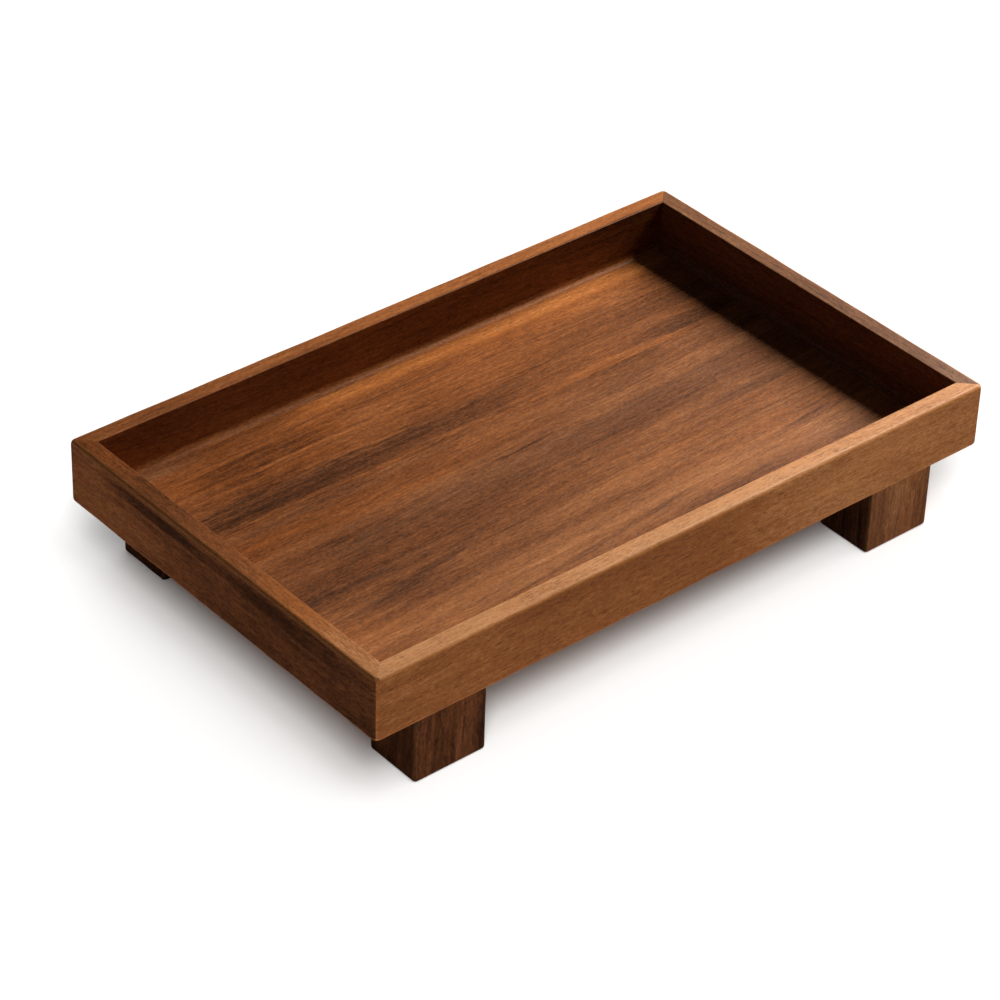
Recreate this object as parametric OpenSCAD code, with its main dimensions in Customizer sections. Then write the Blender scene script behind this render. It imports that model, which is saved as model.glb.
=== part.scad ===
// Wooden tray on block feet: four mitred rails round an edge-glued base.
// Sizes are in millimetres. +X runs along the length, the front rail is at -Y and +Z is up.
// The origin is on the surface that the tray stands on, under the middle of the base.

/* [Tray] */
// Outside length of the rails
tray_l = 300; // [240:1:360]
// Outside width of the rails
tray_w = 185; // [150:1:240]

/* [Rails] */
// Height of the rails
rail_h = 28; // [24:0.5:40]
// Thickness of the rails
rail_t = 8; // [7:0.5:12]
// Radius of the eased edges along the rails
arris_r = 1; // [0.4:0.1:2]
// Radius of the outer corners of the rails, seen from above
corner_r = 2; // [0.5:0.1:4]
// Width of the rebate that takes the edge of the base, into the rail from its inner face
rebate_w = 4; // [2:0.5:5]

/* [Base] */
// Thickness of the base
base_t = 6.5; // [5:0.5:9]
// Width of the middle stave of the base
middle_stave_w = 59; // [40:1:80]
// Room between the edge of the base and the rebate, for the wood to move
panel_gap = 0.2; // [0.1:0.05:0.5]

/* [Feet] */
// Size of a foot along the tray
foot_w = 33; // [24:1:45]
// Size of a foot across the tray
foot_d = 26; // [22:1:45]
// Height of the feet
foot_h = 31; // [20:1:45]
// Distance from the end of the tray to the side of a foot
foot_inset_x = 21; // [5:0.5:40]
// Distance from the long side of the tray to the face of a foot
foot_inset_y = 3.5; // [0:0.5:12]
// Radius of the upright edges of the feet
foot_edge_r = 2; // [0.5:0.1:4]
// Radius of the lower edges of the feet
foot_base_r = 1.5; // [0.5:0.1:3]

/* [Foot dowels] */
// Diameter of the dowels
dowel_d = 6; // [4:0.5:8]
// Length of the dowels
dowel_l = 16; // [10:1:20]
// Distance between the two dowels of a foot
dowel_pitch = 16; // [10:1:20]
// Chamfer round the ends of the dowels
dowel_chamfer = 0.6; // [0.2:0.1:1]
// Room round a dowel in its hole
dowel_gap = 0.1; // [0.05:0.05:0.2]
// Room for glue beyond each end of a dowel
dowel_end_gap = 0.5; // [0.2:0.1:1]
// Wood left between the top of a dowel hole and the top of the base
dowel_cover = 2; // [1:0.1:2.5]

/* [Corner splines] */
// Thickness of the splines
spline_t = 2.5; // [1.5:0.1:3]
// Width of the splines, half of it in each rail
spline_w = 7; // [4:0.5:8]
// Distance of the splines from the middle of the rail thickness, towards the inside
spline_shift = 1; // [0:0.1:1.5]
// Wood left above and below a spline, between the base and the top of the rails
spline_cover = 4; // [3:0.5:6]
// Room round a spline in its slot
spline_gap = 0.1; // [0.05:0.05:0.2]

/* [Hidden] */

$fn = 64;
// How far a cutting shape runs past the face that it cuts
overrun = 1;
mitre_angle = 45;

// Signs of the sides of the tray, and of the ends of a foot
left = -1;
right = 1;
front = -1;
back = 1;
outer = 1;
inner = -1;

rail_colour = "#7d4c2c";
base_colour = "#7a4c31";
foot_colour = "#54331f";
peg_colour = "#c8a06c";

// The base reaches into the rebates on all four sides
panel_inset = rail_t - rebate_w + panel_gap;
panel_l = tray_l - 2 * panel_inset;
panel_w = tray_w - 2 * panel_inset;
side_stave_w = (panel_w - middle_stave_w) / 2;

// Middle of a foot, from the middle of the tray
foot_x = tray_l / 2 - foot_inset_x - foot_w / 2;
foot_y = tray_w / 2 - foot_inset_y - foot_d / 2;

dowel_top = foot_h + base_t - dowel_cover - dowel_end_gap;
dowel_bottom = dowel_top - dowel_l;

// A spline crosses the mitre in the part of the rail above the base
spline_inset = rail_t / 2 + spline_shift;
spline_bottom = foot_h + base_t + spline_cover;
spline_h = rail_h - base_t - 2 * spline_cover;

// Rectangle with round corners, from the origin to [w, h]
module eased_rectangle(w, h, r) {
    translate([r, 0]) square([w - 2 * r, h]);
    translate([0, r]) square([w, h - 2 * r]);
    for (x = [r, w - r], y = [r, h - r])
        translate([x, y]) circle(r);
}

// Cross-section of a rail: X goes in from its outer face, Y up from its lower edge
module rail_section() {
    difference() {
        eased_rectangle(rail_t, rail_h, arris_r);
        translate([rail_t - rebate_w, -overrun])
            square([rebate_w + overrun, base_t + overrun]);
    }
}

// Outline from above of the rail at the -Y side of a frame of l by w, mitred at both ends
module rail_plan(l, w) {
    intersection() {
        translate([-l / 2, -w / 2]) eased_rectangle(l, w, corner_r);
        polygon([
            [-l / 2, -w / 2],
            [l / 2, -w / 2],
            [l / 2 - rail_t, rail_t - w / 2],
            [rail_t - l / 2, rail_t - w / 2],
        ]);
    }
}

// Rail at the -Y side of a frame of l by w
module rail(l, w) {
    translate([0, 0, foot_h])
        intersection() {
            linear_extrude(rail_h) rail_plan(l, w);
            translate([-l / 2, -w / 2, 0])
                rotate([90, 0, 90])
                    linear_extrude(l) rail_section();
        }
}

// Block across the mitre at one corner, larger by grow on every side
module spline_block(side_x, side_y, grow) {
    translate([
        side_x * (tray_l / 2 - spline_inset),
        side_y * (tray_w / 2 - spline_inset),
        spline_bottom + spline_h / 2,
    ])
        rotate([0, 0, -mitre_angle * side_x * side_y])
            cube([spline_w + 2 * grow, spline_t + 2 * grow, spline_h + 2 * grow], center = true);
}

// Moves a shape to the axis of one dowel, at the height of the dowel's lower end
module at_dowel(side_x, side_y, end) {
    translate([side_x * (foot_x + end * dowel_pitch / 2), side_y * foot_y, dowel_bottom])
        children();
}

// A piece with its share of the spline slots and dowel holes cut out
module jointed() {
    difference() {
        children();
        for (side_x = [left, right], side_y = [front, back]) {
            spline_block(side_x, side_y, spline_gap);
            for (end = [outer, inner])
                at_dowel(side_x, side_y, end)
                    translate([0, 0, -dowel_end_gap])
                        cylinder(h = dowel_l + 2 * dowel_end_gap, d = dowel_d + 2 * dowel_gap);
        }
    }
}

module front_rail() {
    color(rail_colour) jointed() rail(tray_l, tray_w);
}

module back_rail() {
    color(rail_colour) jointed() rotate([0, 0, 180]) rail(tray_l, tray_w);
}

module left_rail() {
    color(rail_colour) jointed() rotate([0, 0, -90]) rail(tray_w, tray_l);
}

module right_rail() {
    color(rail_colour) jointed() rotate([0, 0, 90]) rail(tray_w, tray_l);
}

// Board of the base from y to y + w, seated against the top of the rebates
module base_stave(y, w) {
    color(base_colour)
        jointed()
            translate([-panel_l / 2, y, foot_h]) cube([panel_l, w, base_t]);
}

module base_stave_front() {
    base_stave(-panel_w / 2, side_stave_w);
}

module base_stave_middle() {
    base_stave(-middle_stave_w / 2, middle_stave_w);
}

module base_stave_back() {
    base_stave(middle_stave_w / 2, side_stave_w);
}

// Upright bar of width w and depth d with its two lower long edges rounded, about the Z axis
module eased_bar(w, d) {
    translate([-w / 2, d / 2, 0])
        rotate([90, 0, 0])
            linear_extrude(d) eased_rectangle(w, foot_h + 2 * foot_base_r, foot_base_r);
}

module foot(side_x, side_y) {
    color(foot_colour)
        jointed()
            translate([side_x * foot_x, side_y * foot_y, 0])
                intersection() {
                    linear_extrude(foot_h)
                        translate([-foot_w / 2, -foot_d / 2]) eased_rectangle(foot_w, foot_d, foot_edge_r);
                    eased_bar(foot_w, foot_d);
                    rotate([0, 0, 90]) eased_bar(foot_d, foot_w);
                }
}

module spline(side_x, side_y) {
    color(peg_colour) spline_block(side_x, side_y, 0);
}

module dowel(side_x, side_y, end) {
    color(peg_colour)
        at_dowel(side_x, side_y, end)
            rotate_extrude()
                polygon([
                    [0, 0],
                    [dowel_d / 2 - dowel_chamfer, 0],
                    [dowel_d / 2, dowel_chamfer],
                    [dowel_d / 2, dowel_l - dowel_chamfer],
                    [dowel_d / 2 - dowel_chamfer, dowel_l],
                    [0, dowel_l],
                ]);
}

front_rail();
back_rail();
left_rail();
right_rail();
base_stave_front();
base_stave_middle();
base_stave_back();
foot(left, front);  // front_left_foot
foot(right, front);  // front_right_foot
foot(left, back);  // back_left_foot
foot(right, back);  // back_right_foot
spline(left, front);  // front_left_spline
spline(right, front);  // front_right_spline
spline(left, back);  // back_left_spline
spline(right, back);  // back_right_spline
dowel(left, front, outer);  // front_left_outer_dowel
dowel(left, front, inner);  // front_left_inner_dowel
dowel(right, front, outer);  // front_right_outer_dowel
dowel(right, front, inner);  // front_right_inner_dowel
dowel(left, back, outer);  // back_left_outer_dowel
dowel(left, back, inner);  // back_left_inner_dowel
dowel(right, back, outer);  // back_right_outer_dowel
dowel(right, back, inner);  // back_right_inner_dowel
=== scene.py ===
"""Looks of the wooden tray: mitred rails, a base of three staves and four block feet, in oiled walnut.

Sizes in the classes are millimetres in the tray's own frame: +X runs along the length, the front rail is
at -Y and +Z is up from the surface that the feet stand on. They turn to metres where Blender takes them.
"""

import logging
import math
from dataclasses import dataclass
from enum import Enum
from typing import Any

import bmesh
import bpy
from mathutils import Matrix, Vector, noise


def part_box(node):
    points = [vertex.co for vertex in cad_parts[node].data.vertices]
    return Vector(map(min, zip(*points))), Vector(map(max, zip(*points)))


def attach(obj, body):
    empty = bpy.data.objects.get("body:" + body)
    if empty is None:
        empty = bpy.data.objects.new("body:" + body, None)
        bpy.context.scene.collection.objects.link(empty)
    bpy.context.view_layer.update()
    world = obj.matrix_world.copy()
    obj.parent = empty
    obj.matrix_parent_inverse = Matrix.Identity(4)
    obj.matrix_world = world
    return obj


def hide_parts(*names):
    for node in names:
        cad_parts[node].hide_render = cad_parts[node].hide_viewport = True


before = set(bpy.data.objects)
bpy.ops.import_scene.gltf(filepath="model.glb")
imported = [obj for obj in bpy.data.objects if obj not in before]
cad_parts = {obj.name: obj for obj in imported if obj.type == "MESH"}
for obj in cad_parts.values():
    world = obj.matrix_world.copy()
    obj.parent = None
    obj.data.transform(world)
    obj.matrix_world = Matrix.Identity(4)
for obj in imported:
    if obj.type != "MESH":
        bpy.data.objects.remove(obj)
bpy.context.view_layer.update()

LOG = logging.getLogger("tray")
BODY = "root"
MM = 0.001
PER_METRE = 1000.0
WELD = 1e-7
SHARP_ANGLE = math.radians(40)
QUARTER = math.radians(90)
MITRE = math.radians(45)
# Directions from the centre of an arc in a cross-section, in degrees
INWARD, UP, OUTWARD, DOWN = 0.0, 90.0, 180.0, 270.0
RIGHT_ANGLE = 90.0
# Attribute with each point's share of edge wear and painted edge highlight
EDGE_WEAR_AND_SHEEN = "edge_wear_and_sheen"
# The sRGB curve: its straight foot up to the knee, and the power curve above it
SRGB_FULL = 255
SRGB_KNEE = 0.04045
SRGB_SLOPE = 12.92
SRGB_OFFSET = 0.055
SRGB_POWER = 2.4
# Average of a noise pattern, and the middle of the scale of tones
NOISE_MEAN = 0.5
MIDDLE_TONE = 0.5
# Numbers of the colour inputs of the Mix node, whose names it uses more than once
MIX_UNDER = 6
MIX_OVER = 7
# Length along the grain over which a board's lean, partly a real change of tone and partly painted falloff
# of the key light, is given
LEAN_LENGTH = 100.0

# A point of a cross-section or outline in millimetres, with its share of edge wear and painted edge
# highlight
WearSheenPoint = tuple[float, float, float]
# A ring of points in the tray's frame in millimetres, each with its share of edge wear and painted edge
# highlight
Ring = list[tuple[Vector, float]]


def linear(colour: str) -> tuple[float, float, float, float]:
    """Turns an sRGB hex colour to linear light.

    Args:
        colour: The colour as "#rrggbb".

    Returns:
        Red, green and blue in linear light, and full alpha.
    """
    light = []
    for byte in bytes.fromhex(colour.removeprefix("#")):
        share = byte / SRGB_FULL
        curved = ((share + SRGB_OFFSET) / (1 + SRGB_OFFSET)) ** SRGB_POWER
        light.append(share / SRGB_SLOPE if share <= SRGB_KNEE else curved)
    return (*light, 1.0)


def add_node(tree: bpy.types.NodeTree, kind: str, inputs: dict[Any, Any], **settings: Any) -> bpy.types.Node:
    """Adds a node with its settings and links.

    Args:
        tree: The node tree that takes the node.
        kind: The node's Blender type.
        inputs: For each input's name or number, its own value, or the socket or node that feeds it. A node
            feeds it through its first output in use.
        **settings: Properties of the node itself.

    Returns:
        The new node.
    """
    node = tree.nodes.new(kind)
    for name, value in settings.items():
        setattr(node, name, value)
    for name, value in inputs.items():
        if isinstance(value, bpy.types.Node):
            value = next(output for output in value.outputs if output.enabled)
        if isinstance(value, bpy.types.NodeSocket):
            tree.links.new(value, node.inputs[name])
        else:
            node.inputs[name].default_value = value
    return node


def arc(across: float, up: float, radius: float, start: float, end: float, steps: int = 6) -> list[WearSheenPoint]:
    """Points of an eased edge, with the most edge wear and painted edge highlight in the middle.

    Args:
        across: First coordinate of the arc's centre.
        up: Second coordinate of the arc's centre.
        radius: Radius of the arc.
        start: Angle of the first point in degrees.
        end: Angle of the last point in degrees.
        steps: Number of stretches along the arc.

    Returns:
        The arc's points in order.
    """
    points = []
    for step in range(steps + 1):
        share = step / steps
        angle = math.radians(start + (end - start) * share)
        wear_sheen_share = math.sin(math.pi * share)
        points.append((across + radius * math.cos(angle), up + radius * math.sin(angle), wear_sheen_share))
    return points


def eased_outline(width: float, depth: float, radius: float) -> list[WearSheenPoint]:
    """Rectangle with round corners about the origin.

    Args:
        width: Size along the first coordinate.
        depth: Size along the second coordinate.
        radius: Radius of the corners.

    Returns:
        The outline's points, anticlockwise.
    """
    points = []
    for quarter, (side_x, side_y) in enumerate(((1, 1), (-1, 1), (-1, -1), (1, -1))):
        start = RIGHT_ANGLE * quarter
        across = side_x * (width / 2 - radius)
        up = side_y * (depth / 2 - radius)
        points += arc(across, up, radius, start, start + RIGHT_ANGLE)
    return points


def skin(name: str, rings: list[Ring]) -> bpy.types.Object:
    """Joins rings of points into one closed, smooth piece and keeps their share of edge wear and painted
    edge highlight as an attribute.

    Args:
        name: The piece's name.
        rings: Rings with equally many points, from one end of the piece to the other.

    Returns:
        The piece, linked to the scene.
    """
    shell = bmesh.new()
    wear_sheen_share = shell.verts.layers.float.new(EDGE_WEAR_AND_SHEEN)
    loops = []
    for ring in rings:
        loop = []
        for point, share in ring:
            vertex = shell.verts.new(point * MM)
            vertex[wear_sheen_share] = share
            loop.append(vertex)
        loops.append(loop)
    for near, far in zip(loops, loops[1:]):
        for i, corner in enumerate(near):
            after = (i + 1) % len(near)
            shell.faces.new((corner, near[after], far[after], far[i]))
    shell.faces.new(loops[0])
    shell.faces.new(loops[-1])
    bmesh.ops.remove_doubles(shell, verts=shell.verts, dist=WELD)
    bmesh.ops.recalc_face_normals(shell, faces=shell.faces)
    mesh = bpy.data.meshes.new(name)
    shell.to_mesh(mesh)
    shell.free()
    mesh.shade_smooth()
    mesh.set_sharp_from_angle(angle=SHARP_ANGLE)
    piece = bpy.data.objects.new(name, mesh)
    bpy.context.scene.collection.objects.link(piece)
    flats = piece.modifiers.new("flats_stay_flat", "WEIGHTED_NORMAL")
    flats.keep_sharp = True
    return piece


def extent(piece: bpy.types.Object) -> tuple[Vector, Vector]:
    """Finds the lowest and the highest corner of a piece's box.

    Args:
        piece: The piece.

    Returns:
        The two corners, in metres.
    """
    places = [piece.matrix_world @ corner.co for corner in piece.data.vertices]
    return Vector(map(min, zip(*places))), Vector(map(max, zip(*places)))


def towards(azimuth: float, elevation: float) -> Vector:
    """Direction from the tray to a camera or a light.

    Args:
        azimuth: Angle round the tray in degrees, 0 in front and 90 to the right.
        elevation: Angle above the horizon in degrees.

    Returns:
        The direction, of length 1.
    """
    around = math.radians(azimuth)
    above = math.radians(elevation)
    flat = math.cos(above)
    return Vector((math.sin(around) * flat, -math.cos(around) * flat, math.sin(above)))


def settle(piece: bpy.types.Object, node: str, material: bpy.types.Material) -> None:
    """Dresses a new piece and puts it in the place of its CAD node.

    Args:
        piece: The new piece.
        node: The CAD node that it stands for.
        material: The piece's finish.
    """
    piece.data.materials.append(material)
    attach(piece, BODY)
    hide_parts(node)
    LOG.info("%s: %d faces, %s", piece.name, len(piece.data.polygons), material.name)


class Grain(Enum):
    """Direction of a board's fibres, as the turn in degrees that brings it to X."""

    ALONG = (0.0, 0.0, 0.0)
    ACROSS = (0.0, 0.0, -90.0)
    UPRIGHT = (0.0, 90.0, 0.0)


class Side(Enum):
    """Axis across the grain on which a streak has its place."""

    WIDTH = "Y"
    HEIGHT = "Z"


class Detail(Enum):
    """How many finer layers a noise pattern has."""

    SINGLE = 1.0
    DOUBLE = 2.0
    TRIPLE = 3.0


@dataclass(frozen=True)
class Streak:
    """A streak of darker or lighter wood, or of painted shade, shadow, sheen or reflection, along a board,
    in millimetres with the grain along X.

    The place is that of its middle, and the rise turns it by so many degrees from the grain. It darkens the
    wood by its depth on the scale of tones, or lightens it where the depth is below zero, adds its share of
    smoky colour, and fades out over its two ends. A straight one keeps to a face of the board and has plain
    edges, and the others wander with the grain and feather out.
    """

    place: float
    half_width: float
    start: float
    end: float
    depth: float
    smoke: float = 0.0
    rise: float = 0.0
    fade: float = 40.0
    side: Side = Side.WIDTH
    straight: bool = False


@dataclass(frozen=True)
class Cut:
    """Where in the log a board was cut, which gives its figure, and how light its wood is.

    The log is the board's place in the pattern of the wood, the pith the middle of the growth layers across
    the grain, the slope the angle of the grain in degrees, the tone a step on the scale of tones, the lean
    how much that step grows over 100 mm along the grain, partly a real change of tone and partly painted
    falloff of the key light, the figure how strongly the layers show, and the smoke a step from the warm
    colours to the smoky ones. Some of its streaks are painted shade, shadow, sheen or reflection.
    """

    grain: Grain
    log: tuple[float, float, float]
    pith: tuple[float, float]
    slope: float = 0.0
    tone: float = 0.0
    lean_and_falloff: float = 0.0
    figure: float = 1.0
    smoke: float = 0.0
    streaks: tuple[Streak, ...] = ()

    def turn(self) -> tuple[float, ...]:
        """The turn that lays the board's length along the grain on X."""
        return tuple(math.radians(angle) for angle in self.grain.value)


@dataclass(frozen=True)
class OiledWalnut:
    """Walnut, planed, sanded and rubbed with oil.

    The oil deepens the brown and leaves a low satin sheen. Growth layers give long bands of tone, some warm
    and some smoky, the fibres fine wavy streaks, and the open pores short dark dashes along the grain.

    A size is in millimetres: a pair is the length along the grain and the width across it, and a single one
    goes across it. The strength of a pattern is its share on the scale of tones.
    """

    warm: tuple[str, ...] = ("#240e04", "#4c260e", "#7c441e", "#a25f2d", "#c9854c")
    smoky: tuple[str, ...] = ("#1c0f07", "#3e2617", "#68442d", "#8a6040", "#b0835e")
    pore: str = "#200e06"
    band: float = 14.0
    ring: float = 2.4
    strand: tuple[float, float] = (36.0, 1.6)
    fibre: tuple[float, float] = (6.0, 0.8)
    # The grit of the sanded fibres is finer than this, and is drawn coarser so that it shows
    grit: tuple[float, float] = (1.6, 0.7)
    cloud: tuple[float, float] = (70.0, 22.0)
    smoke: tuple[float, float] = (160.0, 14.0)
    smoke_level: float = 0.3
    # A walnut pore is about 0.2 mm wide, and is drawn wider so that it shows
    pore_size: tuple[float, float] = (4.0, 0.5)
    pore_opens: tuple[float, float] = (0.56, 0.72)
    bend: tuple[float, float] = (130.0, 40.0)
    bend_reach: float = 9.0
    ripple: tuple[float, float] = (24.0, 8.0)
    ripple_reach: float = 2.0
    band_strength: float = 0.5
    ring_strength: float = 0.28
    strand_strength: float = 0.4
    fibre_strength: float = 0.36
    grit_strength: float = 0.36
    cloud_strength: float = 0.35
    smoke_strength: float = 0.7
    pore_strength: float = 0.35
    # How far edge wear and painted edge highlight lighten the eased edges
    edge_wear_and_sheen_strength: float = 0.3
    feather: float = 0.9
    soft_share: float = 0.35
    roughness: float = 0.34
    pore_dulling: float = 0.2
    fibre_dulling: float = 0.12
    relief: float = 0.35
    relief_depth: float = 0.1
    specular: float = 0.12
    sheen_tint: str = "#ffe6c8"
    ior: float = 1.48

    def marks(
        self, tree: bpy.types.NodeTree, place: bpy.types.Node, size: tuple[float, float], detail: Detail
    ) -> bpy.types.Node:
        """Adds a pattern of marks along the grain.

        Args:
            tree: The material's node tree.
            place: Points in millimetres with the grain along X.
            size: Length of a mark along the grain and its width across.
            detail: How many finer layers the pattern has.

        Returns:
            The pattern.
        """
        length, width = size
        per_mark = {0: place, 1: (1 / length, 1 / width, 1 / width)}
        counted = add_node(tree, "ShaderNodeVectorMath", per_mark, operation="MULTIPLY")
        inputs = {"Vector": counted, "Scale": 1.0, "Detail": detail.value}
        return add_node(tree, "ShaderNodeTexNoise", inputs)

    def wander(
        self, tree: bpy.types.NodeTree, drawn: bpy.types.Node, places: list[bpy.types.Node]
    ) -> list[bpy.types.Node]:
        """Bends and ripples points as the fibres of a log do.

        Args:
            tree: The material's node tree.
            drawn: Points in the log, in millimetres with the grain along X.
            places: The points to move.

        Returns:
            The moved points.
        """
        for size, reach in ((self.bend, self.bend_reach), (self.ripple, self.ripple_reach)):
            swing = self.marks(tree, drawn, size, Detail.DOUBLE).outputs["Color"]
            inputs = {0: swing, 1: (NOISE_MEAN, NOISE_MEAN, NOISE_MEAN)}
            shift = add_node(tree, "ShaderNodeVectorMath", inputs, operation="SUBTRACT")
            moved = []
            for place in places:
                inputs = {0: shift, 1: (0.0, reach, reach), 2: place}
                moved.append(add_node(tree, "ShaderNodeVectorMath", inputs, operation="MULTIPLY_ADD"))
            places = moved
        return places

    def layers(
        self, tree: bpy.types.NodeTree, layered: bpy.types.Node, cut: Cut, size: float
    ) -> bpy.types.Node:
        """Adds the growth layers round the pith.

        Args:
            tree: The material's node tree.
            layered: Points in millimetres with the grain along X.
            cut: Where the board lay in the log.
            size: Thickness of a layer.

        Returns:
            The layers' pattern.
        """
        flat = {0: layered, 1: (0.0, 1.0, 1.0)}
        plane = add_node(tree, "ShaderNodeVectorMath", flat, operation="MULTIPLY")
        ends = {0: plane, 1: (0.0, *cut.pith)}
        radius = add_node(tree, "ShaderNodeVectorMath", ends, operation="DISTANCE")
        per_layer = {0: radius, 1: 1 / size, 2: cut.log[0]}
        count = add_node(tree, "ShaderNodeMath", per_layer, operation="MULTIPLY_ADD")
        inputs = {"W": count, "Scale": 1.0, "Detail": Detail.DOUBLE.value}
        return add_node(tree, "ShaderNodeTexNoise", inputs, noise_dimensions="1D")

    def streaked(
        self, tree: bpy.types.NodeTree, axes: bpy.types.Node, strands: bpy.types.Node, streak: Streak
    ) -> bpy.types.Node:
        """Adds the mask of a streak, with edges that feather out along the strands.

        Args:
            tree: The material's node tree.
            axes: Points in millimetres with the grain along X, taken apart.
            strands: The pattern of the strands.
            streak: The streak.

        Returns:
            The mask: 1 in the streak and 0 away from it.
        """
        along = axes.outputs["X"]
        middle = (streak.start + streak.end) / 2
        slope = math.tan(math.radians(streak.rise))
        rising = {0: along, 1: slope, 2: streak.place - slope * middle}
        line = add_node(tree, "ShaderNodeMath", rising, operation="MULTIPLY_ADD")
        across = {0: axes.outputs[streak.side.value], 1: line}
        off = add_node(tree, "ShaderNodeMath", across, operation="SUBTRACT")
        aside = add_node(tree, "ShaderNodeMath", {0: off}, operation="ABSOLUTE")
        reach = 0.0 if streak.straight else self.feather * streak.half_width
        ragged = {0: strands, 1: reach, 2: aside}
        feathered = add_node(tree, "ShaderNodeMath", ragged, operation="MULTIPLY_ADD")
        near = streak.half_width * self.soft_share + reach / 2
        spans = (
            (feathered, near, streak.half_width + reach / 2, 1.0, 0.0),
            (along, streak.start - streak.fade / 2, streak.start + streak.fade / 2, 0.0, 1.0),
            (along, streak.end - streak.fade / 2, streak.end + streak.fade / 2, 1.0, 0.0),
        )
        mask = None
        for value, low, high, first, last in spans:
            inputs = {"Value": value, "From Min": low, "From Max": high, "To Min": first, "To Max": last}
            span = add_node(tree, "ShaderNodeMapRange", inputs, interpolation_type="SMOOTHSTEP")
            if mask:
                span = add_node(tree, "ShaderNodeMath", {0: mask, 1: span}, operation="MULTIPLY")
            mask = span
        return mask

    def graded(
        self, tree: bpy.types.NodeTree, tone: bpy.types.Node, colours: tuple[str, ...]
    ) -> bpy.types.Node:
        """Turns a tone to a colour.

        Args:
            tree: The material's node tree.
            tone: The tone, from 0 to 1.
            colours: The scale of colours from dark to light, at even steps.

        Returns:
            The colour.
        """
        scale = add_node(tree, "ShaderNodeValToRGB", {"Fac": tone})
        stops = scale.color_ramp.elements
        stops[0].color = linear(colours[0])
        stops[1].color = linear(colours[-1])
        for i, colour in enumerate(colours[1:-1], 1):
            stops.new(i / (len(colours) - 1)).color = linear(colour)
        return scale

    def mixed(
        self, tree: bpy.types.NodeTree, share: bpy.types.Node, strength: float, under: Any, over: str
    ) -> bpy.types.Node:
        """Lays one colour over another where a pattern shows.

        Args:
            tree: The material's node tree.
            share: The pattern.
            strength: How much of the colour shows where the pattern is full.
            under: The colour so far.
            over: The colour that is laid over it.

        Returns:
            The colour.
        """
        shown = add_node(tree, "ShaderNodeMath", {0: share, 1: strength}, operation="MULTIPLY")
        inputs = {"Factor": shown, MIX_UNDER: under, MIX_OVER: linear(over)}
        return add_node(tree, "ShaderNodeMix", inputs, data_type="RGBA")

    def build(self, name: str, cut: Cut) -> bpy.types.Material:
        """Makes the finish of one board.

        Args:
            name: The material's name.
            cut: Where the board lay in the log.

        Returns:
            The material.
        """
        material = bpy.data.materials.new(name)
        material.use_nodes = True
        tree = material.node_tree
        tree.nodes.clear()
        where = add_node(tree, "ShaderNodeTexCoord", {}).outputs["Object"]
        scale = (PER_METRE, PER_METRE, PER_METRE)
        turned = {"Vector": where, "Rotation": cut.turn(), "Scale": scale}
        board = add_node(tree, "ShaderNodeMapping", turned)
        tilt = {"Vector": board, "Rotation": (0.0, 0.0, math.radians(cut.slope))}
        sloped = add_node(tree, "ShaderNodeMapping", tilt)
        drawn = add_node(tree, "ShaderNodeVectorMath", {0: sloped, 1: cut.log}, operation="ADD")
        layered, grown = self.wander(tree, drawn, [sloped, drawn])
        straight = add_node(tree, "ShaderNodeSeparateXYZ", {"Vector": board})
        wavy = add_node(tree, "ShaderNodeSeparateXYZ", {"Vector": layered})

        strands = self.marks(tree, grown, self.strand, Detail.TRIPLE)
        fibres = self.marks(tree, grown, self.fibre, Detail.DOUBLE)
        patterns = (
            (self.layers(tree, layered, cut, self.band), self.band_strength * cut.figure),
            (self.layers(tree, layered, cut, self.ring), self.ring_strength * cut.figure),
            (strands, self.strand_strength * cut.figure),
            (fibres, self.fibre_strength),
            (self.marks(tree, grown, self.grit, Detail.SINGLE), self.grit_strength),
            (self.marks(tree, grown, self.cloud, Detail.DOUBLE), self.cloud_strength),
        )
        # What the patterns add on average comes off the tone first
        level = MIDDLE_TONE + cut.tone - sum(strength for _, strength in patterns) * NOISE_MEAN
        # The lean is partly a real change of tone and partly painted falloff of the key light
        leaning_and_falloff = {0: straight.outputs["X"], 1: cut.lean_and_falloff / LEAN_LENGTH, 2: level}
        tone = add_node(tree, "ShaderNodeMath", leaning_and_falloff, operation="MULTIPLY_ADD")
        for pattern, strength in patterns:
            shaded = {0: pattern, 1: strength, 2: tone}
            tone = add_node(tree, "ShaderNodeMath", shaded, operation="MULTIPLY_ADD")
        smoke_level = self.smoke_level + cut.smoke - self.smoke_strength * NOISE_MEAN
        drifts = self.marks(tree, grown, self.smoke, Detail.DOUBLE)
        smoky = {0: drifts, 1: self.smoke_strength, 2: smoke_level}
        smoke = add_node(tree, "ShaderNodeMath", smoky, operation="MULTIPLY_ADD")
        # Each streak shifts the tone and the smoke; some streaks are painted shade, shadow, sheen or
        # reflection rather than wood
        for streak in cut.streaks:
            mask = self.streaked(tree, straight if streak.straight else wavy, strands, streak)
            darker = {0: mask, 1: -streak.depth, 2: tone}
            tone = add_node(tree, "ShaderNodeMath", darker, operation="MULTIPLY_ADD")
            smokier = {0: mask, 1: streak.smoke, 2: smoke}
            smoke = add_node(tree, "ShaderNodeMath", smokier, operation="MULTIPLY_ADD")
        scales = {
            "Factor": smoke,
            MIX_UNDER: self.graded(tree, tone, self.warm),
            MIX_OVER: self.graded(tree, tone, self.smoky),
        }
        wood = add_node(tree, "ShaderNodeMix", scales, data_type="RGBA")

        shut, opened = self.pore_opens
        dashes = self.marks(tree, grown, self.pore_size, Detail.SINGLE)
        inputs = {"Value": dashes, "From Min": shut, "From Max": opened}
        pores = add_node(tree, "ShaderNodeMapRange", inputs, interpolation_type="SMOOTHSTEP")
        pored = self.mixed(tree, pores, self.pore_strength, wood, self.pore)
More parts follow.
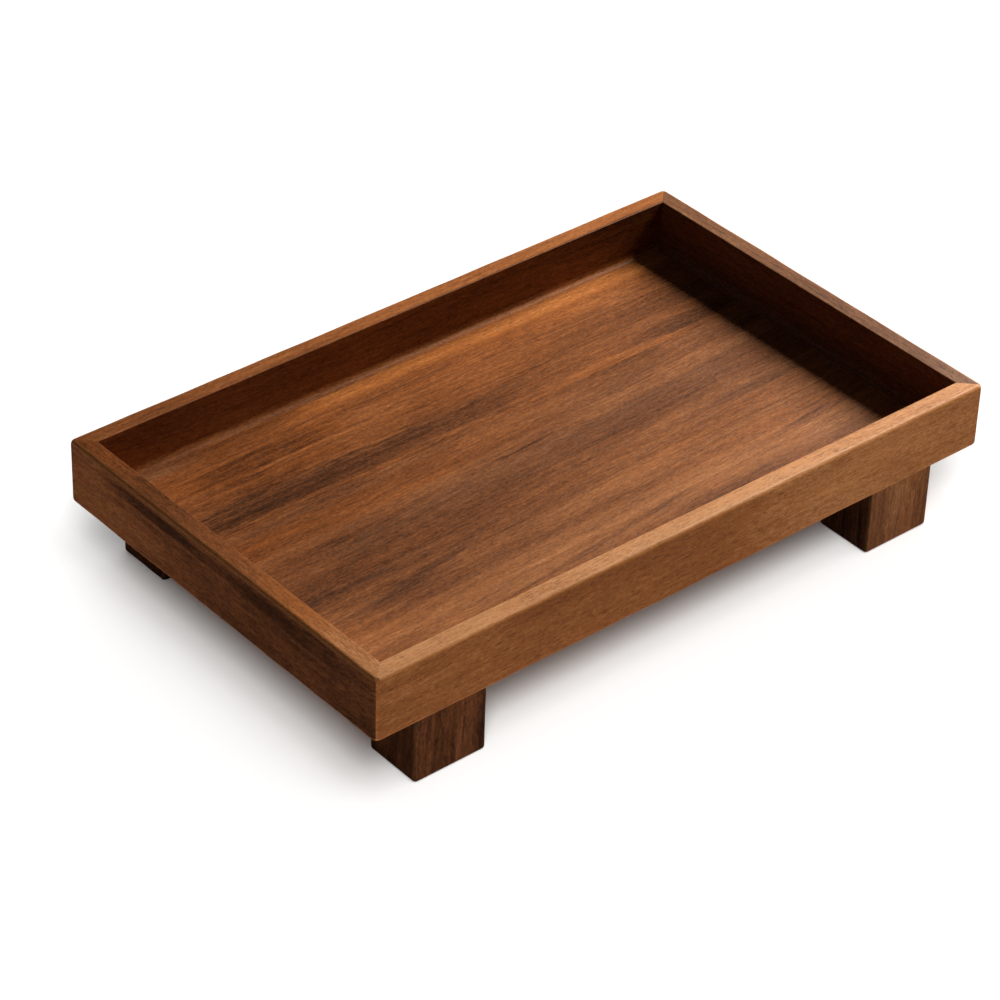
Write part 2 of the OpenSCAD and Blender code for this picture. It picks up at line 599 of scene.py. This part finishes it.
        # The eased edges are lightened towards the palest warm colour: partly edge wear, partly painted
        # highlight along the edges
        wear_sheen_share = add_node(tree, "ShaderNodeAttribute", {}, attribute_name=EDGE_WEAR_AND_SHEEN).outputs["Fac"]
        colour = self.mixed(tree, wear_sheen_share, self.edge_wear_and_sheen_strength, pored, self.warm[-1])

        dulled = {0: pores, 1: self.pore_dulling, 2: self.roughness}
        dull = add_node(tree, "ShaderNodeMath", dulled, operation="MULTIPLY_ADD")
        roughened = {0: fibres, 1: self.fibre_dulling, 2: dull}
        roughness = add_node(tree, "ShaderNodeMath", roughened, operation="MULTIPLY_ADD")
        relief = add_node(tree, "ShaderNodeMath", {0: fibres, 1: pores}, operation="SUBTRACT")
        raised = {"Height": relief, "Strength": self.relief, "Distance": self.relief_depth * MM}
        bump = add_node(tree, "ShaderNodeBump", raised)
        finish = {
            "Base Color": colour,
            "Roughness": roughness,
            "Normal": bump,
            "IOR": self.ior,
            "Specular IOR Level": self.specular,
            "Specular Tint": linear(self.sheen_tint),
        }
        surface = add_node(tree, "ShaderNodeBsdfPrincipled", finish)
        add_node(tree, "ShaderNodeOutputMaterial", {"Surface": surface})
        return material


@dataclass(frozen=True)
class TurnedBeech:
    """Beech, turned or planed and left bare: pale, even and dull, with short darker flecks."""

    base: str = "#c9a06c"
    fleck: str = "#a97d4d"
    fleck_size: float = 2.0
    roughness: float = 0.65
    relief: float = 0.2
    relief_depth: float = 0.1

    def build(self, name: str) -> bpy.types.Material:
        """Makes the finish.

        Args:
            name: The material's name.

        Returns:
            The material.
        """
        material = bpy.data.materials.new(name)
        material.use_nodes = True
        tree = material.node_tree
        tree.nodes.clear()
        where = add_node(tree, "ShaderNodeTexCoord", {}).outputs["Object"]
        counted = {"Vector": where, "Scale": PER_METRE / self.fleck_size, "Detail": Detail.TRIPLE.value}
        flecks = add_node(tree, "ShaderNodeTexNoise", counted)
        colours = {"Factor": flecks, MIX_UNDER: linear(self.base), MIX_OVER: linear(self.fleck)}
        colour = add_node(tree, "ShaderNodeMix", colours, data_type="RGBA")
        raised = {"Height": flecks, "Strength": self.relief, "Distance": self.relief_depth * MM}
        bump = add_node(tree, "ShaderNodeBump", raised)
        finish = {"Base Color": colour, "Roughness": self.roughness, "Normal": bump}
        surface = add_node(tree, "ShaderNodeBsdfPrincipled", finish)
        add_node(tree, "ShaderNodeOutputMaterial", {"Surface": surface})
        return material


@dataclass
class RailFrame:
    """The four rails, mitred at the corners, with eased edges, a rebate for the base and a cove above it.

    The edges were eased by hand, so their radius wanders in slow waves along a rail, apart from the few
    stations at each end where the rails meet.
    """

    thickness: float = 8.0
    outer_ease: float = 1.8
    inner_ease: float = 0.45
    # Share of edge wear and painted edge highlight on the inner top edge
    inner_wear_and_sheen: float = 0.3
    cove: float = 3.0
    cove_toe: float = 0.05
    foot_ease: float = 0.3
    corner: float = 2.6
    rebate: float = 4.0
    base_thickness: float = 6.5
    seam: float = 0.03
    seam_gap: float = 0.01
    station: float = 4.0
    still_stations: int = 3
    corner_steps: int = 5
    ease_wander: float = 0.25
    ease_wave: float = 22.0

    def __post_init__(self) -> None:
        """Takes the frame's outside sizes from the CAD rails."""
        low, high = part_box("front_rail")
        self.length = (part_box("right_rail")[1].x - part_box("left_rail")[0].x) * PER_METRE
        self.width = (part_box("back_rail")[1].y - low.y) * PER_METRE
        self.bottom = low.z * PER_METRE
        self.height = (high.z - low.z) * PER_METRE

    def section(self, ease: float) -> list[WearSheenPoint]:
        """Cross-section of a rail: in from its outer face and up from its lower edge.

        Args:
            ease: Factor on the radius of the eased edges.

        Returns:
            The section's points in order.
        """
        outer = self.outer_ease * ease
        inner = self.inner_ease * ease
        lip = self.thickness - self.rebate
        points = arc(outer, outer, outer, DOWN, OUTWARD)
        points += arc(outer, self.height - outer, outer, OUTWARD, UP)
        for depth, up, wear_sheen_share in arc(self.thickness - inner, self.height - inner, inner, UP, INWARD):
            points.append((depth, up, wear_sheen_share * self.inner_wear_and_sheen))
        toe = self.thickness + self.cove
        cove_top = self.base_thickness + self.cove_toe + self.cove
        for depth, up, _ in arc(toe, cove_top, self.cove, OUTWARD, DOWN):
            points.append((depth, up, 0.0))
        points.append((toe, self.base_thickness, 0.0))
        points.append((lip, self.base_thickness, 0.0))
        points.append((lip, self.foot_ease, 0.0))
        points.append((lip - self.foot_ease, 0.0, 0.0))
        return points

    def ring(
        self, section: list[WearSheenPoint], half: float, along: float, turn: float, back_off: float
    ) -> Ring:
        """Points of a rail's section at one place along it, in the frame of a rail at -Y.

        Args:
            section: The section's points.
            half: Half the rail's outside length.
            along: Place along the rail from its middle.
            turn: Angle already turned round the outer corner, up to the mitre.
            back_off: Distance to keep from the mitre.

        Returns:
            The ring's points, with the rail's outer face at y = 0.
        """
        points = []
        side = math.copysign(1.0, along)
        for depth, up, wear_sheen_share in section:
            if depth < self.corner:
                radius = self.corner - depth
                end = half - self.corner + radius * math.sin(turn)
                inward = self.corner - radius * math.cos(turn)
            else:
                end = half - depth
                inward = depth
            x = min(abs(along), end - back_off)
            points.append((Vector((side * x, inward, up)), wear_sheen_share))
        return points

    def rings(self, half: float, seed: float) -> list[Ring]:
        """Rings of one rail from end to end.

        Args:
            half: Half the rail's outside length.
            seed: Place in the noise that makes the hand-eased edges uneven.

        Returns:
            The rings, with the rail's outer face at y = 0.
        """
        back_off = self.seam_gap + self.seam
        plain = self.section(1.0)
        squeeze_in = 1 - 2 * self.seam / self.thickness
        squeeze_up = 1 - 2 * self.seam / self.height
        middle_in = self.thickness / 2
        middle_up = self.height / 2
        shrunk = []
        for depth, up, wear_sheen_share in plain:
            inward = middle_in + (depth - middle_in) * squeeze_in
            upward = middle_up + (up - middle_up) * squeeze_up
            shrunk.append((inward, upward, wear_sheen_share))
        ends = []
        for side in (-1.0, 1.0):
            end = [self.ring(shrunk, half, side * half, MITRE, self.seam_gap)]
            for step in range(self.corner_steps, 0, -1):
                turn = MITRE * step / self.corner_steps
                end.append(self.ring(plain, half, side * half, turn, back_off))
            ends.append(end)
        straight = []
        inner = half - self.thickness
        count = round(2 * inner / self.station)
        for i in range(count + 1):
            along = -inner + 2 * inner * i / count
            swing = noise.noise(Vector((along / self.ease_wave, seed, 0.0)))
            freedom = min(1.0, min(i, count - i) / self.still_stations)
            section = self.section(1 + self.ease_wander * swing * freedom)
            straight.append(self.ring(section, half, along, 0.0, back_off))
        return ends[0] + straight + ends[1][::-1]

    def build(self, finish: OiledWalnut, cuts: dict[str, Cut]) -> list[bpy.types.Object]:
        """Makes and dresses the four rails.

        Args:
            finish: The rails' finish.
            cuts: How each rail was cut from the log.

        Returns:
            The rails.
        """
        pieces = []
        # Each rail lies a quarter turn on from the one before
        plans = {
            "front_rail": (self.length, self.width),
            "right_rail": (self.width, self.length),
            "back_rail": (self.length, self.width),
            "left_rail": (self.width, self.length),
        }
        for turns, (node, (length, width)) in enumerate(plans.items()):
            spin = Matrix.Rotation(QUARTER * turns, 3, "Z")
            move = Vector((0.0, -width / 2, self.bottom))
            rings = []
            for ring in self.rings(length / 2, float(turns)):
                rings.append([(spin @ (point + move), wear_sheen_share) for point, wear_sheen_share in ring])
            piece = skin(f"eased_{node}", rings)
            settle(piece, node, finish.build(f"oiled_walnut_{node}", cuts[node]))
            pieces.append(piece)
        return pieces


@dataclass
class BasePanel:
    """The base, edge-glued from three staves."""

    glue_ease: float = 0.12
    lower_ease: float = 0.3
    gap: float = 0.01

    def rings(self, node: str) -> list[Ring]:
        """Rings of one stave from its left end to its right.

        Args:
            node: The stave's CAD node.

        Returns:
            The stave's rings.
        """
        low, high = (corner * PER_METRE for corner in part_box(node))
        rings = []
        ends = (
            (low.x, self.lower_ease),
            (low.x + self.lower_ease, 0.0),
            (high.x - self.lower_ease, 0.0),
            (high.x, self.lower_ease),
        )
        for x, shrink in ends:
            front = low.y + shrink + self.gap
            back = high.y - shrink - self.gap
            top = high.z - shrink
            bottom = low.z + shrink
            outline = (
                (front, bottom + self.lower_ease),
                (front + self.lower_ease, bottom),
                (back - self.lower_ease, bottom),
                (back, bottom + self.lower_ease),
                (back, top - self.glue_ease),
                (back - self.glue_ease, top),
                (front + self.glue_ease, top),
                (front, top - self.glue_ease),
            )
            rings.append([(Vector((x, y, z)), 0.0) for y, z in outline])
        return rings

    def build(self, finish: OiledWalnut, cuts: dict[str, Cut]) -> list[bpy.types.Object]:
        """Makes and dresses the staves.

        Args:
            finish: The staves' finish.
            cuts: How each stave was cut from the log.

        Returns:
            The staves.
        """
        pieces = []
        for node, cut in cuts.items():
            piece = skin(f"glued_{node}", self.rings(node))
            settle(piece, node, finish.build(f"oiled_walnut_{node}", cut))
            pieces.append(piece)
        return pieces


@dataclass
class BlockFeet:
    """The four block feet, with round upright and lower edges."""

    edge: float = 1.5
    sole_edge: float = 1.4
    top_edge: float = 0.2
    # Share of edge wear and painted edge highlight on the feet's edges
    edge_wear_and_sheen: float = 0.2
    steps: int = 6

    def rings(self, node: str) -> list[Ring]:
        """Rings of one foot from its sole up.

        Args:
            node: The foot's CAD node.

        Returns:
            The foot's rings.
        """
        low, high = (corner * PER_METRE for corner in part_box(node))
        size = high - low
        middle = (low + high) / 2
        levels = []
        for step in range(self.steps + 1):
            angle = QUARTER * step / self.steps
            inset = self.sole_edge * (1 - math.sin(angle))
            levels.append((inset, self.sole_edge * (1 - math.cos(angle))))
        levels += [(0.0, size.z - self.top_edge), (self.top_edge, size.z)]
        rings = []
        for inset, up in levels:
            outline = eased_outline(size.x - 2 * inset, size.y - 2 * inset, self.edge - inset)
            ring = []
            for x, y, wear_sheen_share in outline:
                ring.append((Vector((middle.x + x, middle.y + y, low.z + up)), wear_sheen_share * self.edge_wear_and_sheen))
            rings.append(ring)
        return rings

    def build(self, finish: OiledWalnut, cuts: dict[str, Cut]) -> list[bpy.types.Object]:
        """Makes and dresses the feet.

        Args:
            finish: The feet's finish.
            cuts: How each foot was cut from the log.

        Returns:
            The feet.
        """
        pieces = []
        for node, cut in cuts.items():
            piece = skin(f"eased_{node}", self.rings(node))
            settle(piece, node, finish.build(f"oiled_walnut_{node}", cut))
            pieces.append(piece)
        return pieces


@dataclass
class HiddenJoints:
    """The splines across the mitres and the dowels of the feet, which keep their CAD shape."""

    endings: tuple[str, ...] = ("_spline", "_dowel")
    room: float = 0.1

    def seat(self, peg: bpy.types.Object) -> bpy.types.Object:
        """Makes the shape of a peg's seat, which is the peg with room for glue all round.

        Args:
            peg: The spline or dowel.

        Returns:
            The shape, to cut from the pieces that the peg joins.
        """
        shell = bmesh.new()
        shell.from_mesh(peg.data)
        shell.transform(peg.matrix_world)
        bmesh.ops.remove_doubles(shell, verts=shell.verts, dist=WELD)
        bmesh.ops.recalc_face_normals(shell, faces=shell.faces)
        room = self.room * MM
        moves = [corner.normal * corner.calc_shell_factor() * room for corner in shell.verts]
        for corner, move in zip(shell.verts, moves):
            corner.co += move
        mesh = bpy.data.meshes.new(f"{peg.name}_seat")
        shell.to_mesh(mesh)
        shell.free()
        shape = bpy.data.objects.new(mesh.name, mesh)
        bpy.context.scene.collection.objects.link(shape)
        return shape

    def cut(self, shape: bpy.types.Object, pieces: list[bpy.types.Object]) -> None:
        """Cuts a seat out of the pieces that it reaches.

        Args:
            shape: The shape of the seat.
            pieces: All pieces that may hold a peg.
        """
        low, high = extent(shape)
        for piece in pieces:
            spans = zip(low, high, *extent(piece))
            if any(first > end or last < start for first, last, start, end in spans):
                continue
            hole = piece.modifiers.new("seat", "BOOLEAN")
            hole.operation = "DIFFERENCE"
            hole.solver = "EXACT"
            hole.object = shape
            chosen = {"object": piece, "active_object": piece, "selected_objects": [piece]}
            with bpy.context.temp_override(**chosen):
                bpy.ops.object.modifier_move_to_index(modifier=hole.name, index=0)
                bpy.ops.object.modifier_apply(modifier=hole.name)
            piece.data.set_sharp_from_angle(angle=SHARP_ANGLE)
        bpy.data.objects.remove(shape)

    def build(self, finish: TurnedBeech, pieces: list[bpy.types.Object]) -> None:
        """Dresses every spline and dowel and cuts its seat.

        Args:
            finish: The finish of bare pegs.
            pieces: The pieces that the pegs join.
        """
        material = finish.build("bare_turned_beech")
        for name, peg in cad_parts.items():
            if name.endswith(self.endings):
                peg.data.materials.clear()
                peg.data.materials.append(material)
                self.cut(self.seat(peg), pieces)
                LOG.info("%s: CAD shape, %s", name, material.name)


class LampKind(Enum):
    """Kinds of light, as Blender names them."""

    SOFTBOX = "AREA"
    SKY_PATCH = "SUN"


@dataclass(frozen=True)
class Lamp:
    """A soft light, turned to the tray.

    Its azimuth and elevation are as the camera's. A softbox has its power in watts and the length of its
    side in millimetres, and a patch of sky its power in watts per square metre and its angle in degrees.
    """

    name: str
    kind: LampKind
    azimuth: float
    elevation: float
    power: float
    size: float


@dataclass
class Studio:
    """Pale floor, soft light and the camera."""

    azimuth: float = -41.19
    elevation: float = 35.57
    distance: float = 1395.9
    aim: tuple[float, float, float] = (-47.3, -36.4, 59.0)
    roll: float = -2.0
    lens: float = 136.8
    sensor: float = 36.0
    lamp_distance: float = 1200.0
    # The tray and the floor have their own lamps, so that the shade in the well and the shadow on the floor
    # are each as soft as they should be
    key: Lamp = Lamp("key", LampKind.SOFTBOX, 97.0, 37.8, power=31.5, size=530.0)
    floor_lamps: tuple[Lamp, ...] = (
        Lamp("floor_lamp_left", LampKind.SKY_PATCH, -39.0, 47.0, power=2.1, size=22.0),
        Lamp("floor_lamp_front", LampKind.SKY_PATCH, -12.5, 65.0, power=1.22, size=34.0),
        Lamp("floor_lamp_right", LampKind.SKY_PATCH, 95.0, 59.0, power=1.54, size=114.0),
    )
    floor_side: float = 12000.0
    floor_drop: float = 0.05
    floor_colour: str = "#f3f3f2"
    floor_roughness: float = 0.9
    sky_colour: str = "#ffffff"
    ambient: float = 0.055

    def place_camera(self) -> None:
        """Sets the camera at the photograph's viewing angle."""
        tilt = math.radians(self.roll)
        back = towards(self.azimuth, self.elevation)
        level = Vector((0.0, 0.0, 1.0)).cross(back).normalized()
        down = level.cross(back)
        right = math.cos(tilt) * level + math.sin(tilt) * down
        lower = math.cos(tilt) * down - math.sin(tilt) * level
        data = bpy.data.cameras.new("camera")
        data.lens = self.lens
        data.sensor_width = self.sensor
        camera = bpy.data.objects.new("camera", data)
        place = Matrix.Translation((Vector(self.aim) + back * self.distance) * MM)
        camera.matrix_world = place @ Matrix((right, -lower, back)).transposed().to_4x4()
        bpy.context.scene.collection.objects.link(camera)
        bpy.context.scene.camera = camera

    def lay_floor(self) -> bpy.types.Object:
        """Makes the floor of matt white paper, which is pale, even and without gloss.

        Returns:
            The floor.
        """
        half = self.floor_side / 2 * MM
        level = -self.floor_drop * MM
        mesh = bpy.data.meshes.new("floor")
        corners = [(-half, -half, level), (half, -half, level), (half, half, level), (-half, half, level)]
        mesh.from_pydata(corners, [], [range(len(corners))])
        floor = bpy.data.objects.new("floor", mesh)
        material = bpy.data.materials.new("matt_white_paper")
        material.use_nodes = True
        tree = material.node_tree
        tree.nodes.clear()
        finish = {
            "Base Color": linear(self.floor_colour),
            "Roughness": self.floor_roughness,
            "Specular IOR Level": 0.0,
        }
        surface = add_node(tree, "ShaderNodeBsdfPrincipled", finish)
        add_node(tree, "ShaderNodeOutputMaterial", {"Surface": surface})
        mesh.materials.append(material)
        bpy.context.scene.collection.objects.link(floor)
        # In reflections the white floor and surroundings would lie as haze on the oiled wood
        floor.visible_glossy = False
        return floor

    def hang(self, lamp: Lamp, lit: list[bpy.types.Object]) -> None:
        """Hangs a light that is turned to the tray.

        Args:
            lamp: The light.
            lit: The objects that it lights.
        """
        data = bpy.data.lights.new(lamp.name, lamp.kind.value)
        data.energy = lamp.power
        if lamp.kind is LampKind.SOFTBOX:
            data.size = lamp.size * MM
        else:
            data.angle = math.radians(lamp.size)
        light = bpy.data.objects.new(lamp.name, data)
        back = towards(lamp.azimuth, lamp.elevation)
        light.location = back * self.lamp_distance * MM
        light.rotation_mode = "QUATERNION"
        light.rotation_quaternion = (-back).to_track_quat("-Z", "Y")
        bpy.context.scene.collection.objects.link(light)
        group = bpy.data.collections.new(f"lit_by_{lamp.name}")
        for piece in lit:
            group.objects.link(piece)
        light.light_linking.receiver_collection = group

    def light_world(self) -> None:
        """Makes the surroundings white to the eye and a weak fill to the tray."""
        world = bpy.data.worlds.new("studio")
        bpy.context.scene.world = world
        world.cycles_visibility.glossy = False
        world.use_nodes = True
        tree = world.node_tree
        tree.nodes.clear()
        seen = add_node(tree, "ShaderNodeLightPath", {}).outputs["Is Camera Ray"]
        shown = {"Value": seen, "To Min": self.ambient, "To Max": 1.0}
        strength = add_node(tree, "ShaderNodeMapRange", shown)
        white = {"Color": linear(self.sky_colour), "Strength": strength}
        sky = add_node(tree, "ShaderNodeBackground", white)
        add_node(tree, "ShaderNodeOutputWorld", {"Surface": sky})

    def build(self, pieces: list[bpy.types.Object]) -> None:
        """Makes the whole stage.

        Args:
            pieces: The pieces of the tray.
        """
        self.place_camera()
        floor = self.lay_floor()
        self.hang(self.key, pieces)
        for lamp in self.floor_lamps:
            self.hang(lamp, [floor])
        self.light_world()
        bpy.context.scene.view_settings.view_transform = "Standard"
        LOG.info("stage: floor, key, floor lights and camera")


# The front rail is the palest, with a rim painted lighter and greyer as sheen. The left one has a dark band
# under its rim, painted light and shade on its rim and painted shade on its outer face, and the back one
# painted shadow on its inner face
RAIL_CUTS = {
    "front_rail": Cut(
        Grain.ALONG, (120.0, 40.0, 10.0), (-60.0, -30.0), 0.5,
        tone=0.345, lean_and_falloff=-0.02, figure=0.45, smoke=-0.3,
        streaks=(
            # Painted sheen: the whole rim lighter and greyer
            Streak(59.0, 1.2, -170.0, 170.0, -0.085, 0.5, side=Side.HEIGHT, straight=True),
            Streak(55.0, 4.0, -170.0, -60.0, 0.06, 0.1, side=Side.HEIGHT),
            Streak(-92.5, 1.0, -180.0, -60.0, 0.1, -0.2, fade=60.0, straight=True),
            Streak(-92.5, 1.0, -80.0, 30.0, 0.15, -0.2, fade=70.0, straight=True),
        ),
    ),
    "back_rail": Cut(
        Grain.ALONG, (520.0, 90.0, 60.0), (140.0, 10.0), -0.4,
        tone=0.08, lean_and_falloff=0.064, figure=0.6, smoke=-0.15,
        # Painted shadow of the right rail on the inner face, darker towards its right end
        streaks=(Streak(84.5, 1.0, -10.0, 200.0, 0.26, -0.2, fade=160.0, straight=True),),
    ),
    "left_rail": Cut(
        Grain.ACROSS, (900.0, 10.0, 33.0), (150.0, -120.0), 0.8,
        tone=0.04, lean_and_falloff=-0.2, figure=0.35, smoke=-0.3,
        streaks=(
            # Painted light and shade on the rim: darker from the middle towards the back, lighter towards
            # the front corner
            Streak(59.0, 1.2, -30.0, 60.0, 0.1, 0.3, side=Side.HEIGHT, straight=True),
            Streak(59.0, 1.2, -200.0, -50.0, -0.08, 0.4, side=Side.HEIGHT, straight=True),
            Streak(52.5, 4.0, 15.0, 62.0, 0.15, 0.5, fade=30.0, side=Side.HEIGHT),
            Streak(53.0, 4.5, -70.0, 30.0, 0.09, 0.4, fade=50.0, side=Side.HEIGHT),
            # Painted shade on the outer face: darker towards its front end, lighter towards its back
            Streak(150.0, 1.0, -200.0, 10.0, 0.33, -0.4, fade=180.0, straight=True),
            Streak(150.0, 1.0, -200.0, -75.0, 0.1, -0.4, fade=50.0, straight=True),
            Streak(150.0, 1.0, 20.0, 200.0, -0.12, -0.4, fade=120.0, straight=True),
        ),
    ),
    "right_rail": Cut(
        Grain.ACROSS, (1300.0, 70.0, 22.0), (-60.0, 20.0), -0.7, figure=0.6, smoke=0.6,
    ),
}
# The front and the middle stave were sawn side by side, so their figure runs across the glue line
PLAIN_CUT = Cut(
    Grain.ALONG, (640.0, 30.0, 80.0), (60.0, -60.0), -2.0,
    tone=-0.01, lean_and_falloff=0.04, figure=0.7, smoke=0.12,
    streaks=(
        Streak(28.6, 0.9, -170.0, -30.0, -0.07, -0.1, straight=True),
        Streak(20.0, 10.0, -170.0, 20.0, 0.0, -0.35, fade=120.0),
        Streak(-1.0, 9.0, -100.0, 108.0, 0.03, 0.2),
        Streak(-7.0, 3.5, 5.0, 45.0, 0.06, 0.1, fade=30.0),
        Streak(7.2, 1.0, -14.0, 16.0, 0.14, 0.1, fade=16.0),
        Streak(-19.0, 2.2, -150.0, -82.0, 0.13, 0.2),
        Streak(-27.5, 3.5, -105.0, -40.0, 0.11, 0.1, rise=9.0),
        Streak(-34.0, 4.0, -140.0, -80.0, 0.07, 0.1),
        Streak(-45.6, 1.2, 90.0, 114.0, 0.2, 0.2, rise=2.0, fade=14.0),
        Streak(-56.0, 1.8, -34.0, 30.0, 0.12, 0.1, rise=4.0, fade=30.0),
        Streak(-59.0, 1.2, -70.0, -34.0, 0.12, 0.1, rise=3.0, fade=20.0),
        Streak(-54.0, 14.0, -170.0, 60.0, -0.16, fade=100.0),
        Streak(-38.0, 22.0, -200.0, -105.0, -0.14, fade=50.0),
        Streak(28.0, 8.0, -110.0, -20.0, 0.1, fade=50.0),
        Streak(24.0, 14.0, 60.0, 170.0, 0.15, fade=60.0),
        Streak(-18.0, 5.0, 80.0, 125.0, 0.1, 0.1),
        Streak(11.0, 5.0, -140.0, -95.0, -0.13),
        Streak(21.0, 7.0, -50.0, -12.0, 0.08),
        Streak(-34.0, 6.0, -25.0, 30.0, -0.09),
    ),
)
STAVE_CUTS = {
    "base_stave_front": PLAIN_CUT,
    "base_stave_middle": PLAIN_CUT,
    "base_stave_back": Cut(
        Grain.ALONG, (1010.0, 55.0, 44.0), (140.0, -20.0), -0.3,
        tone=0.03, lean_and_falloff=0.03, figure=0.7, smoke=-0.15,
        streaks=(
            Streak(79.5, 6.5, -50.0, 170.0, -0.2, -0.4),
            # Painted reflection: a lighter, greyer strip along the foot of the back wall at its left end
            Streak(80.0, 5.0, -190.0, -105.0, -0.12, 0.5, fade=30.0),
            Streak(77.0, 6.0, 30.0, 90.0, -0.06, -0.2),
            Streak(72.0, 0.8, -125.0, -40.0, 0.08, 0.1, fade=20.0),
            Streak(69.0, 0.9, -36.0, 16.0, 0.12, 0.1, fade=20.0),
            Streak(64.0, 8.0, -112.0, -50.0, 0.2, -0.4),
            Streak(53.0, 6.0, -105.0, -55.0, 0.1, -0.2),
            # Painted shade: darker at the right end, next to the shadow of the right rail
            Streak(64.0, 20.0, 100.0, 190.0, 0.03, fade=40.0),
            Streak(59.0, 0.8, -85.0, -22.0, 0.1, 0.1, fade=20.0),
            Streak(39.0, 10.0, -170.0, 30.0, 0.22, 0.3, fade=80.0),
            Streak(37.5, 1.4, -150.0, -82.0, 0.1, 0.1),
            Streak(48.0, 22.0, 60.0, 170.0, 0.14, 0.2, fade=120.0),
            Streak(37.0, 6.0, 85.0, 130.0, 0.15, 0.2),
            Streak(78.0, 8.0, -110.0, -50.0, 0.08),
        ),
    ),
}
# The feet are of darker wood, and a straight streak paints shade on the left face of each front foot, which
# lies in the shadow under the tray
FOOT_CUTS = {
    "front_left_foot": Cut(
        Grain.UPRIGHT, (90.0, 31.0, 7.0), (-95.0, 90.0), 1.0, tone=-0.14, smoke=-0.1,
        streaks=(Streak(129.0, 1.0, -50.0, 80.0, 0.15, side=Side.HEIGHT, straight=True),),
    ),
    "front_right_foot": Cut(
        Grain.UPRIGHT, (430.0, 12.0, 61.0), (-40.0, -80.0), -1.0, tone=0.14,
        streaks=(Streak(-96.0, 1.0, -50.0, 80.0, 0.5, side=Side.HEIGHT, straight=True),),
    ),
    "back_left_foot": Cut(Grain.UPRIGHT, (770.0, 83.0, 19.0), (90.0, 60.0), 0.5, tone=-0.3),
    "back_right_foot": Cut(Grain.UPRIGHT, (1150.0, 47.0, 38.0), (120.0, -150.0), -0.5),
}


def main() -> None:
    """Builds the tray and the stage in order."""
    logging.basicConfig(level=logging.INFO, format="%(message)s")
    walnut = OiledWalnut()
    pieces = RailFrame().build(walnut, RAIL_CUTS)
    pieces += BasePanel().build(walnut, STAVE_CUTS)
    pieces += BlockFeet().build(walnut, FOOT_CUTS)
    HiddenJoints().build(TurnedBeech(), pieces)
    Studio().build(pieces)


if __name__ == "__main__":
    main()
